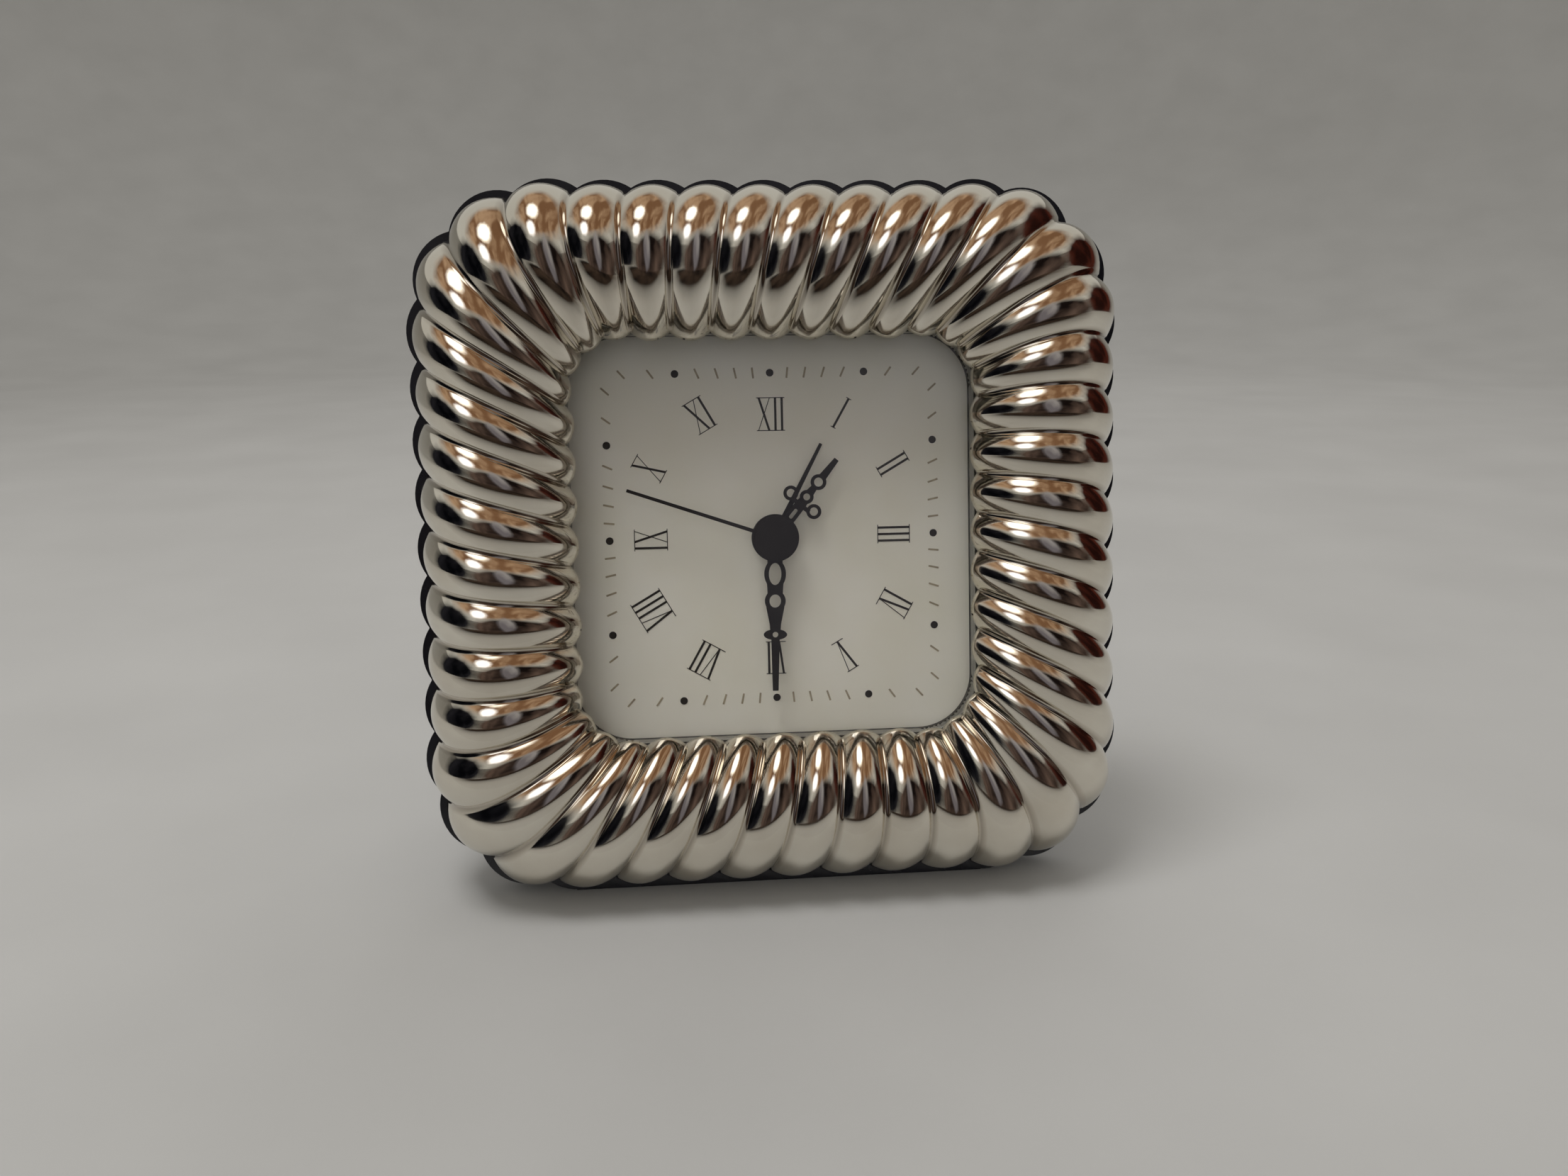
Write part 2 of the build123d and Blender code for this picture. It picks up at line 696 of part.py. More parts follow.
centre_wheel = toothed(centre, centre_wheel_teeth, centre_module, 0, centre_front, centre_back)
pieces["centre_wheel"] = centre_wheel - cylinder(
    centre, centre_front, centre_back, cannon_radius + running_clearance)

seconds_module = module(intermediate_distance, intermediate_pinion_teeth, seconds_wheel_teeth)
seconds = toothed(centre, seconds_wheel_teeth, seconds_module, 0, seconds_front, seconds_back)
seconds += toothed(centre, seconds_pinion_teeth, third_module, 0, third_front, seconds_front)
seconds += cylinder(centre, boss_front + 0.2, seconds_back, arbor_radius)
seconds += cylinder(centre, third_front, hand_top(seconds_hand_rise), seconds_arbor_radius)
seconds += rear_pivot(centre, boss_front + 0.2)
pieces["seconds_wheel"] = seconds

third_phase = mesh(0, seconds_pinion_teeth, centre, third_wheel_teeth, third_at)
third_pinion_phase = mesh(0, centre_wheel_teeth, centre, third_pinion_teeth, third_at)
third_wheel = toothed(third_at, third_wheel_teeth, third_module, third_phase, third_front, third_back)
third_wheel += toothed(
    third_at, third_pinion_teeth, centre_module, third_pinion_phase, centre_front, third_front)
third_wheel += cylinder(third_at, plate_back - 0.2, centre_front, arbor_radius)
third_wheel += cylinder(third_at, third_back, boss_front + 0.2, arbor_radius)
third_wheel += front_pivot(third_at, plate_back - 0.2) + rear_pivot(third_at, boss_front + 0.2)
pieces["third_wheel"] = third_wheel

rotor_module = module(rotor_distance, rotor_pinion_teeth, intermediate_wheel_teeth)
relay_pinion_phase = mesh(0, seconds_wheel_teeth, centre, intermediate_pinion_teeth, intermediate_at)
relay = toothed(intermediate_at, intermediate_wheel_teeth, rotor_module, 0, relay_front, relay_back)
relay += toothed(
    intermediate_at, intermediate_pinion_teeth, seconds_module, relay_pinion_phase, seconds_front, relay_front)
relay += cylinder(intermediate_at, plate_back - 0.2, seconds_front, arbor_radius)
relay += cylinder(intermediate_at, relay_back, boss_front + 0.2, arbor_radius)
relay += front_pivot(intermediate_at, plate_back - 0.2) + rear_pivot(intermediate_at, boss_front + 0.2)
pieces["intermediate_wheel"] = relay

stator_z = (centre_front + centre_back) / 2
stator_half = 0.35
magnet_radius = 2.5
rotor_phase = mesh(0, intermediate_wheel_teeth, intermediate_at, rotor_pinion_teeth, rotor_at)
rotor = toothed(rotor_at, rotor_pinion_teeth, rotor_module, rotor_phase, relay_front, relay_back)
rotor += cylinder(rotor_at, plate_back - 0.2, relay_front, arbor_radius)
rotor += cylinder(rotor_at, stator_z - 1.2, stator_z + 1.2, magnet_radius)
rotor += cylinder(rotor_at, relay_back, boss_front + 0.2, arbor_radius)
rotor += front_pivot(rotor_at, plate_back - 0.2) + rear_pivot(rotor_at, boss_front + 0.2)
pieces["rotor"] = rotor

# Stepping motor: stator, coil bobbin and winding
stator_left = rotor_at[0] - magnet_radius - 2.6
stator_right = 18.5
stator_low = rotor_at[1] - magnet_radius - 1.3
coil_y = rotor_at[1] + 3.95
core_half = 0.8
coil_left = rotor_at[0] + magnet_radius + 2.9
coil_right = 15.0
stator_layer = stator_z - stator_half, stator_z + stator_half
stator = block(stator_left, stator_right, stator_low, coil_y + core_half, *stator_layer)
stator -= block(coil_left, coil_right, stator_low + 4.2, coil_y - core_half, *stator_layer)
stator -= cylinder(rotor_at, *stator_layer, magnet_radius + 0.5)
pieces["stator"] = stator

bobbin_left, bobbin_right = coil_left + 0.3, coil_right - 0.3
flange_width = 0.8
flange_radius = 2.4
winding_radius = 2.2
bobbin_radius = 1.35
bobbin = bar_x(bobbin_left, bobbin_right, coil_y, stator_z, bobbin_radius)
for x0 in (bobbin_left, bobbin_right - flange_width):
    bobbin += bar_x(x0, x0 + flange_width, coil_y, stator_z, flange_radius)
bobbin -= block(bobbin_left, bobbin_right, coil_y - core_half - 0.05, coil_y + core_half + 0.05,
                stator_z - stator_half - 0.05, stator_z + stator_half + 0.05)
pieces["coil_bobbin"] = bobbin
winding_ends = bobbin_left + flange_width, bobbin_right - flange_width
pieces["coil_winding"] = bar_x(*winding_ends, coil_y, stator_z, winding_radius) - bar_x(
    *winding_ends, coil_y, stator_z, bobbin_radius + 0.02)

# Movement front plate: bush, pivot holes, stator posts and cell cradles
plate = cushion(movement_half, movement_corner_radius, plate_back, dial_back)
bush_radius = dial_hole_radius - 0.1
plate += cylinder(centre, dial_back, dial_front + 0.5, bush_radius)
plate -= cylinder(centre, plate_back, dial_front + 0.5, bush_bore)
for x in (stator_left + 1.4, stator_right - 1.8):
    plate += cylinder((x, stator_low + 1.5), stator_z + stator_half, plate_back, 1.2)
cell_z = movement_inside + cell_radius + 0.3
for x in (-12.0, 12.0):
    plate += block(x - 1, x + 1, cell_y - 4, cell_y + 4, cell_z + cell_radius + 0.1, plate_back)
for at in (third_at, intermediate_at, rotor_at, motion_at, setting_at, alarm_at):
    plate -= cylinder(at, plate_back, dial_back, pivot_radius + running_clearance)
case_screw_offset = movement_half - 2.6
case_screw_places = [(sx * case_screw_offset, sy * case_screw_offset) for sx in (-1, 1) for sy in (-1, 1)]
case_screw_head = 0.6
for at in case_screw_places:
    plate -= cylinder(at, dial_back, dial_back - case_screw_head, 1.5)
    plate -= cylinder(at, dial_back, plate_back, 0.85)
pieces["movement_front_plate"] = plate
pieces["movement_case_screws"] = [
    cylinder(at, dial_back, dial_back - case_screw_head, 1.4) + cylinder(
        at, dial_back - case_screw_head, plate_back - 4.0, 0.8) for at in case_screw_places]

# Movement rear case: walls, ears, bosses, cell bay, rails and openings
shell = cushion(movement_half, movement_corner_radius, movement_back, plate_back)
shell -= cushion(inside_half, movement_corner_radius - movement_wall, movement_inside, plate_back)
for sx in (-1, 1):
    for sy in (-1, 1):
        shell += block(
            sx * (movement_half - movement_wall / 2), sx * (movement_half + ear_reach),
            sy * ear_y - ear_height / 2, sy * ear_y + ear_height / 2, ear_front, ear_front - ear_thickness)
for at in ear_places:
    shell -= cylinder(at, ear_front, ear_front - ear_thickness, screw_radius + 0.2)
for at in case_screw_places:
    shell += cylinder(at, movement_inside, plate_back, 1.6)
    shell -= cylinder(at, plate_back, plate_back - 4.3, 0.8 + screw_play)
for at in (centre, third_at, intermediate_at, rotor_at, motion_at):
    shell += cylinder(at, movement_inside, boss_front, boss_radius)
    shell -= cylinder(at, boss_front, boss_front - pivot_length - 0.2, pivot_radius + running_clearance)
shell += block(-inside_half, inside_half, bay_wall_y, bay_wall_y + 0.8, movement_inside, plate_back)
bay_end = cell_length / 2 + 0.95
for side in (-1, 1):
    shell += block(
        side * bay_end, side * (bay_end + 1), -inside_half, bay_wall_y, movement_inside, plate_back - 0.6)
bay_low = cell_y - cell_radius + 0.3
bay_high = cell_y + cell_radius - 0.3
shell -= block(-bay_end, bay_end, bay_low, bay_high, movement_back, movement_inside)
door_half = door_width / 2
door_low = bay_low - 0.8
door_high = door_low + door_height
rail_top = movement_back - door_thickness - door_play
for side in (-1, 1):
    rail_in = door_half + door_play
    rail_out = rail_in + rail_width
    shell += block(side * rail_in, side * rail_out, door_low, door_high, rail_top - 0.6, movement_back)
    shell += block(side * (door_half - 0.8), side * rail_out, door_low, door_high, rail_top - 0.6, rail_top)
for at in (setting_at, alarm_at):
    shell -= cylinder(at, movement_back, movement_inside, setting_arbor_radius + running_clearance)
slot_half = switch_stem_length / 2 + 0.2
shell -= block(
    switch_x - switch_stem_width / 2 - 0.1, switch_x + switch_stem_width / 2 + 0.1, switch_y - slot_half,
    switch_y + switch_travel + slot_half, movement_back, movement_inside)
buzzer_at = (4.6, bay_wall_y + 7.0)
buzzer_radius = 5.9
for hole in range(6):
    shell -= cylinder(polar(buzzer_at, 3.0, hole * 60), movement_back, movement_inside, 0.6)
shell -= cylinder(buzzer_at, movement_back, movement_inside, 0.6)
board_back = movement_inside + 1.1
board_x = (1.0 - inside_half, 11.4 - inside_half)
board_y = (bay_wall_y + 1.8, inside_half - 4.4)
for y in (board_y[0] + 2, board_y[1] - 2):
    shell += block(board_x[0] + 0.5, board_x[1] - 0.5, y - 1, y + 1, movement_inside, board_back)
pieces["movement_rear_case"] = shell

# Circuit, buzzer and alarm contact
board_front = board_back + 0.8
pieces["circuit_board"] = block(*board_x, *board_y, board_back, board_front)
chip_x = board_x[0] + 2.5
pieces["driver_chip"] = block(chip_x, chip_x + 5.0, -4.0, 1.0, board_front, board_front + 1.1)
can_radius = 1.0
can_x = board_x[0] + 5.0
can = Pos(can_x, 12.0, board_front + can_radius) * Rot(90, 0, 0) * Cylinder(can_radius, 6.0)
pieces["quartz_can"] = can + block(can_x - 0.8, can_x + 0.8, 9.4, 14.6, board_front, board_front + 0.5)
pieces["buzzer"] = cylinder(buzzer_at, movement_inside, movement_inside + 0.25, buzzer_radius) + cylinder(
    buzzer_at, movement_inside + 0.25, movement_inside + 0.5, buzzer_radius - 1.4)
switch_inside = movement_inside + 0.15
contact_z = switch_inside + 1.6
contact = block(switch_x - 3.6, switch_x - 2.6, switch_y - 4.5, switch_y + 5.5, movement_inside, contact_z)
pieces["alarm_contact_spring"] = contact + block(
    switch_x - 2.6, switch_x + 1.0, switch_y + 4.9, switch_y + 5.3, contact_z - 1.0, contact_z)

# Alarm switch: finger cap, stem through the slot and inner shoe
cap_back = movement_back - 1.8
cap = block(switch_x - 2.4, switch_x + 2.4, switch_y - 3.0, switch_y + 3.0, cap_back, movement_back - 0.15)
for y in (-1.6, 0.0, 1.6):
    groove_y = switch_y + y
    cap -= block(switch_x - 2.4, switch_x + 2.4, groove_y - 0.3, groove_y + 0.3, cap_back, cap_back + 0.4)
stem_x = switch_stem_width / 2
cap += block(
    switch_x - stem_x, switch_x + stem_x, switch_y - switch_stem_length / 2, switch_y + switch_stem_length / 2,
    movement_back - 0.15, switch_inside)
cap += block(
    switch_x - 2.0, switch_x + 2.0, switch_y - switch_stem_length / 2, switch_y + switch_stem_length / 2,
    switch_inside, switch_inside + 1.0)
pieces["alarm_switch"] = cap


# Setting knobs
def knob(at):
    """A fluted knob with a hole for its arbor."""
    points = []
    for flute in range(knob_flutes):
        for radius, share in ((knob_radius - 0.35, 0.0), (knob_radius, 0.3), (knob_radius, 0.7)):
            points.append(polar(at, radius, (flute + share) * 360 / knob_flutes))
    body = Pos(0, 0, knob_back) * extrude(make_face(Polyline(*points, close=True)), knob_height)
    body -= cylinder(at, knob_front, arbor_end - 0.1, setting_arbor_radius + 0.01)
    return body - cylinder(at, knob_back, knob_back + 0.5, knob_radius - 1.4)


pieces["time_setting_knob"] = knob(setting_at)
pieces["alarm_setting_knob"] = knob(alarm_at)

# Battery cell, contacts and sliding door
nub = 0.8
cell_half = cell_length / 2
pieces["battery_cell"] = bar_x(-cell_half, cell_half - nub, cell_y, cell_z, cell_radius) + bar_x(
    cell_half - nub, cell_half, cell_y, cell_z, 1.9)
for name, side, button in (("battery_contact_plus", 1, 1.2), ("battery_contact_minus", -1, 2.2)):
    contact = block(
        side * (bay_end - 0.4), side * bay_end, cell_y - 3.5, cell_y + 3.5, cell_z - 4, cell_z + 4)
    pieces[name] = contact + bar_x(side * cell_half, side * (bay_end - 0.4), cell_y, cell_z, button)
door_back = movement_back - door_thickness
door = block(-door_half, door_half, door_low, door_high, door_back, movement_back)
for y in (0.0, 1.4, 2.8):
    ridge_y = door_high - 5.4 + y
    door += block(-6, 6, ridge_y, ridge_y + 0.7, door_back - 0.5, door_back)
pieces["battery_door"] = door


# Dial printing
def stroke(x0, y0, x1, y1, width):
    """A straight stroke with level ends."""
    half = width / 2
    return make_face(Polyline((x0 - half, y0), (x0 + half, y0), (x1 + half, y1), (x1 - half, y1), close=True))


letter_widths = {"I": 0.5, "V": 1.75, "X": 2.0}


def letter(kind, x):
    """One Roman letter from its left side: thick down-strokes, hairline up-strokes."""
    width = letter_widths[kind]
    top, low = numeral_height / 2, -numeral_height / 2
    if kind == "I":
        return stroke(x + width / 2, low, x + width / 2, top, stroke_width)
    if kind == "V":
        middle = x + width / 2
        thick = stroke(x + stroke_width / 2, top, middle, low, stroke_width)
        return thick + stroke(x + width - hairline_width / 2, top, middle, low, hairline_width)
    thick = stroke(x + stroke_width / 2, top, x + width - stroke_width / 2, low, stroke_width)
    return thick + stroke(x + width - hairline_width / 2, top, x + hairline_width / 2, low, hairline_width)


def numeral(text):
    """A Roman numeral joined by hairline serifs, centred on the origin."""
    total = sum(letter_widths[kind] for kind in text) + letter_gap * (len(text) - 1)
    x = -total / 2
    sketch = None
    for kind in text:
        form = letter(kind, x)
        sketch = form if sketch is None else sketch + form
        x += letter_widths[kind] + letter_gap
    for side in (-1, 1):
        y = side * (numeral_height - hairline_width) / 2
        sketch += Pos(0, y) * Rectangle(total + 0.4, hairline_width)
    return sketch


def on_square(half, degrees_clockwise):
    """Point where a ray from the centre meets a square of the dial."""
    angle = radians(degrees_clockwise)
    reach = half / max(abs(sin(angle)), abs(cos(angle)))
    return reach * sin(angle), reach * cos(angle)


def printed(sketch, x, y, degrees_clockwise):
    """Marks laid on the dial, turned to point outwards."""
    flat = Pos(x, y, dial_front) * Rot(0, 0, -degrees_clockwise) * sketch
    return extrude(flat, print_thickness, dir=(0, 0, 1))


texts = ("XII", "I", "II", "III", "IV", "V", "VI", "VII", "VIII", "IX", "X", "XI")
marks = []
for hour, text in enumerate(texts):
    marks.append(printed(numeral(text), *on_square(numeral_half, 30 * hour), 30 * hour))
    marks.append(printed(Circle(dot_radius), *on_square(track_half, 30 * hour), 0))
pieces["dial_numerals"] = marks
ticks = [minute for minute in range(60) if minute % 5]
pieces["dial_ticks"] = [
    printed(Rectangle(tick_width, tick_length), *on_square(track_half, 6 * minute), 6 * minute)
    for minute in ticks]


# Hands, drawn pointing up and turned to the time they show
def ring(y, outer, hole, x=0.0):
    """A ring of an open-worked hand."""
    return Pos(x, y) * (Circle(outer) - Circle(hole))


def taper(y0, width0, y1, width1):
    """A straight tapering piece of a hand."""
    return make_face(Polyline(
        (-width0 / 2, y0), (width0 / 2, y0), (width1 / 2, y1), (-width1 / 2, y1), close=True))


def hand(sketch, rise, degrees_clockwise, bore, hub_radius, hub_height):
    """A flat hand with its hub, fitted on a tube."""
    top = hand_top(rise)
    blade = Pos(0, 0, top - hand_thickness) * extrude(sketch, hand_thickness)
    body = blade + cylinder(centre, top - hub_height, top, hub_radius)
    body -= cylinder(centre, top - hub_height, top, bore)
    return Rot(0, 0, -degrees_clockwise) * body


fit = 0.01
alarm_blade = taper(0, 0.95, alarm_hand_length, 0.5)
pieces["alarm_hand"] = hand(alarm_blade, alarm_hand_rise, alarm_hand_deg, alarm_radius + fit, 2.95, 0.6)

tip_ring = 11.2
hour_blade = taper(0, 2.0, 6.6, 1.7) - (Pos(0, 4.8) * RectangleRounded(0.6, 1.8, 0.25))
for side in (-1, 1):
    hour_blade += Pos(0, 6.6) * (Pos(side * 1.0, 0) * Rectangle(1.6, 0.7))
    hour_blade += ring(7.1, 1.18, 0.67, side * 2.35)
hour_blade += ring(8.2, 1.1, 0.55) + taper(6.3, 1.7, 7.4, 1.6)
hour_blade += taper(9.1, 1.3, 10.2, 1.0) + ring(tip_ring, 1.25, 0.72)
hour_blade += taper(tip_ring + 1.1, 1.25, hour_hand_length, 0.8)
pieces["hour_hand"] = hand(hour_blade, hour_hand_rise, hour_hand_deg, hour_radius + fit, 2.6, 0.7)

minute_blade = taper(0, 2.2, 4.0, 2.4)
for y, length, width in ((5.75, 2.35, 1.72), (10.05, 1.75, 1.65)):
    minute_blade += Pos(0, y) * Ellipse(width, length)
minute_blade += taper(7.3, 2.6, 8.9, 2.4) + taper(11.0, 2.9, 13.7, 1.8) + taper(13.7, 1.8, 15.0, 1.6)
for y, length, width in ((5.75, 1.75, 1.0), (10.05, 1.05, 0.92)):
    minute_blade -= Pos(0, y) * Ellipse(width, length)
minute_blade += Pos(0, 15.4) * Ellipse(1.85, 0.85)
minute_blade += taper(15.0, 1.4, minute_hand_length, 0.9)
minute_blade -= Pos(0, 15.4) * Circle(0.45)
pieces["minute_hand"] = hand(minute_blade, minute_hand_rise, minute_hand_deg, cannon_radius + fit, 2.2, 0.8)

seconds_blade = taper(0, 0.6, seconds_hand_length, 0.5)
seconds_hand = hand(
    seconds_blade, seconds_hand_rise, seconds_hand_deg, seconds_arbor_radius + fit, seconds_hub_radius, 0.8)
seconds_hand += cylinder(
    centre, hand_top(seconds_hand_rise), hand_top(seconds_hand_rise) + 0.25, seconds_hub_radius - 0.35)
pieces["seconds_hand"] = seconds_hand

# Set the clock on the table: face leaning back, origin under the middle of the outline
face = Plane(
    origin=(0, 0, table_drop), x_dir=(1, 0, 0), z_dir=(0, -cos(radians(lean_deg)), sin(radians(lean_deg))))


def placed(piece, shift):
    """One piece, or a set of like pieces, on the table."""
    solids = piece if isinstance(piece, list) else [piece]
    moved = [Pos(0, shift, 0) * (face.location * solid) for solid in solids]
    return moved[0] if len(moved) == 1 else Compound(children=moved)


front_edge = placed(pieces["gadrooned_bezel"], 0).bounding_box().min.Y
back_edge = placed(pieces["strut_leg"], 0).bounding_box().max.Y
middle_shift = -(front_edge + back_edge) / 2
for name, piece in pieces.items():
    export_step(placed(piece, middle_shift), os.path.join("parts", name + ".step"))
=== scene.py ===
"""Looks of the square table clock: its materials, its fine silver frame and a plain studio around it."""

import math

import bmesh
import bpy
from mathutils import Matrix, Vector


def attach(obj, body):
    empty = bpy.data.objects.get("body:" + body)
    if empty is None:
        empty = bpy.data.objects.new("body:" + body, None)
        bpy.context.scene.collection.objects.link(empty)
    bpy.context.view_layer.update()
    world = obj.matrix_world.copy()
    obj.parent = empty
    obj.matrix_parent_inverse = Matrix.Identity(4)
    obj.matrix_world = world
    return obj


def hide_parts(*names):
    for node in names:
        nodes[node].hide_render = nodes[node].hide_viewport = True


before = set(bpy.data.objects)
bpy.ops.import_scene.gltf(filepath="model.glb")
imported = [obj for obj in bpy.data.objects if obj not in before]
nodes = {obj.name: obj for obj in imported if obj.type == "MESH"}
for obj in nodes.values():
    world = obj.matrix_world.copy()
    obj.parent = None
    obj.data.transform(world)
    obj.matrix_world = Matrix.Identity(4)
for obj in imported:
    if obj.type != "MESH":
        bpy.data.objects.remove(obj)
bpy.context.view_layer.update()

# Rear case: the black ABS tray that holds everything, moulded in one shot with a glossy scalloped rim
# and a straight foot under it. The blue-black pigment flows in faint clouds, and the polished tool
# leaves only a very fine orange peel on the skin.
MM = 0.001
CLOUD_SPAN = (0.3, 0.7)


def srgb(code):
    """Linear colour of a six-digit sRGB code."""
    parts = [int(code[i : i + 2], 16) / 255 for i in (0, 2, 4)]
    return [p / 12.92 if p <= 0.04045 else ((p + 0.055) / 1.055) ** 2.4 for p in parts] + [1]


def add(tree, kind, sockets, **settings):
    """One shader node with its settings; each socket takes a value or the output linked to it."""
    made = tree.nodes.new("ShaderNode" + kind)
    for name, value in settings.items():
        setattr(made, name, value)
    for key, value in sockets.items():
        if isinstance(value, bpy.types.NodeSocket):
            tree.links.new(value, made.inputs[key])
        else:
            made.inputs[key].default_value = value
    return made


def surface(name, colours, cloud, roughness, grain, relief, **values):
    """A material whose colour drifts in clouds and whose skin has a fine grain, both sized in mm."""
    made = bpy.data.materials.new(name)
    made.use_nodes = True
    tree = made.node_tree
    shader = tree.nodes["Principled BSDF"]
    place = add(tree, "TexCoord", {}).outputs["Object"]
    drift = add(tree, "TexNoise", {"Vector": place, "Scale": 1 / (cloud * MM), "Detail": 4.0}).outputs[0]
    skin = add(tree, "TexNoise", {"Vector": place, "Scale": 1 / (grain * MM), "Detail": 3.0}).outputs[0]
    tint = add(tree, "ValToRGB", {"Fac": drift})
    for stop, colour, where in zip(tint.color_ramp.elements, colours, CLOUD_SPAN):
        stop.position = where
        stop.color = srgb(colour)
    low, high = CLOUD_SPAN
    rough = add(tree, "MapRange", {0: drift, 1: low, 2: high, 3: roughness[0], 4: roughness[1]})
    bump = add(tree, "Bump", {"Height": skin, "Distance": relief * MM, "Strength": 1.0})
    tree.links.new(tint.outputs[0], shader.inputs["Base Color"])
    tree.links.new(rough.outputs[0], shader.inputs["Roughness"])
    tree.links.new(bump.outputs[0], shader.inputs["Normal"])
    for key, value in values.items():
        shader.inputs[key.replace("_", " ")].default_value = value
    return made


def paint(made, *names):
    """Gives a material to CAD pieces."""
    for name in names:
        nodes[name].data.materials.clear()
        nodes[name].data.materials.append(made)


glossy = surface("glossy black ABS", ("0b0c12", "15161d"), 9, (0.22, 0.32), 0.5, 0.004, IOR=1.53)
paint(glossy, "rear_case")

# Bezel core: a moulded ring of grey filled resin that backs the thin silver and takes the screws from
# behind. The frame hides it, so it keeps its plain matt skin.
resin = surface("grey filled resin", ("6d6a63", "7d7a72"), 6, (0.5, 0.62), 0.4, 0.01, IOR=1.5)
paint(resin, "bezel_core")

# Screws and hinge pins: zinc-plated steel, turned and rolled. The plating is bright, with a light
# blue-grey drift and a very fine grain.
zinc = surface("zinc-plated steel", ("a3a7ab", "c3c5c6"), 1.2, (0.25, 0.4), 0.15, 0.003, Metallic=1.0)
paint(
    zinc,
    "bezel_screws",
    "movement_ear_screws",
    "cover_screws",
    "movement_case_screws",
    "strut_hinge_pins",
)

# Wheels, setting arbors and coil bobbin: white acetal, moulded to size and pushed onto their pivots.
# It is slightly waxy and lets a little light in at the teeth.
acetal = surface(
    "white acetal",
    ("dcd8cc", "ece9e0"),
    3,
    (0.35, 0.45),
    0.3,
    0.004,
    IOR=1.48,
    Subsurface_Weight=0.1,
    Subsurface_Scale=0.0006,
)
paint(
    acetal,
    "alarm_wheel",
    "alarm_setting_arbor",
    "hour_wheel",
    "cannon_pinion",
    "motion_wheel",
    "time_setting_arbor",
    "centre_wheel",
    "seconds_wheel",
    "third_wheel",
    "intermediate_wheel",
    "coil_bobbin",
)

# Movement front plate: glass-filled ABS, moulded with the bearings of the wheels in it. The glass
# greys the surface and leaves it dull.
filled = surface("grey glass-filled ABS", ("55575a", "606266"), 4, (0.45, 0.58), 0.25, 0.012, IOR=1.53)
paint(filled, "movement_front_plate")

# Stepping motor: a dark sintered magnet turns between stamped iron plates, driven by a coil of thin
# copper wire. The wire's enamel is red-brown, and its turns show only as a fine roughness.
magnet = surface("sintered magnet", ("2e2c2b", "3b3937"), 0.8, (0.4, 0.55), 0.1, 0.01, Metallic=0.6)
iron = surface("laminated iron", ("8e9092", "a5a7a8"), 2, (0.3, 0.45), 0.2, 0.005, Metallic=1.0)
copper = surface("enamelled copper wire", ("8c3f1c", "b3602f"), 1, (0.25, 0.4), 0.12, 0.03, Metallic=1.0)
paint(magnet, "rotor")
paint(iron, "stator")
paint(copper, "coil_winding")

# Circuit: a small board under green solder mask, with a drop of black epoxy over the chip and a drawn
# nickel can for the quartz. The mask is smooth, the epoxy dull and the can bright.
mask = surface("green solder mask", ("14532a", "1d6a38"), 3, (0.25, 0.35), 0.4, 0.01, IOR=1.55)
epoxy = surface("black epoxy", ("0d0d0e", "17171a"), 0.8, (0.5, 0.65), 0.1, 0.01, IOR=1.55)
nickel = surface("drawn nickel", ("b5b3ad", "c9c7c1"), 1, (0.18, 0.3), 0.2, 0.002, Metallic=1.0)
paint(mask, "circuit_board")
paint(epoxy, "driver_chip")
paint(nickel, "quartz_can")

# Buzzer and contacts: a stamped brass sounding disc, and springs bent from steel strip that touch the
# cell and the alarm wheel. Both are fairly bright, with the slight unevenness of rolled sheet.
brass = surface("brass", ("a8863f", "c7a55a"), 2, (0.22, 0.36), 0.2, 0.004, Metallic=1.0)
spring = surface("spring steel", ("9b9da0", "b4b6b8"), 1.5, (0.25, 0.38), 0.15, 0.003, Metallic=1.0)
paint(brass, "buzzer")
paint(spring, "alarm_contact_spring", "battery_contact_plus", "battery_contact_minus")

# Dial and spacer: a thin plate sprayed with cream satin lacquer, under a black moulded ring that holds
# the crystal off it. The spray drifts softly from champagne to ivory, with a grain so fine that the
# sheen stays broad. The ring shows as a thin dark line round the window.
cream = surface("cream dial lacquer", ("f0eddd", "f5f3e7"), 14, (0.38, 0.48), 0.12, 0.006, IOR=1.5)
lining = surface("black moulded polystyrene", ("161514", "21201e"), 8, (0.45, 0.55), 0.2, 0.006, IOR=1.5)
paint(cream, "dial_plate")
paint(lining, "dial_spacer")

# Printing: the numerals and five-minute dots are raised black screen ink, the minute ticks a thinner
# grey-brown pass that lets some cream through.
black_ink = surface("black screen ink", ("14120f", "211e1a"), 1.5, (0.45, 0.6), 0.1, 0.008, IOR=1.5)
grey_ink = surface("thin grey ink", ("9a8f78", "b3a88f"), 0.8, (0.45, 0.6), 0.1, 0.005, IOR=1.5)
paint(black_ink, "dial_numerals")
paint(grey_ink, "dial_ticks")

# Hands: stamped brass, lacquered black and pressed onto their arbors. The lacquer pools a little and
# stays semi-gloss.
lacquer = surface("black hand lacquer", ("070606", "100e0d"), 2, (0.42, 0.52), 0.15, 0.004, IOR=1.5)
paint(lacquer, "alarm_hand", "hour_hand", "minute_hand", "seconds_hand")

# Gasket: a moulded black rubber ring pressed between the core and the crystal. The rubber is dull,
# with a slightly dusty skin.
rubber = surface("black gasket rubber", ("0e0e0e", "1a1a19"), 1.5, (0.6, 0.75), 0.15, 0.015, IOR=1.52)
paint(rubber, "window_gasket")

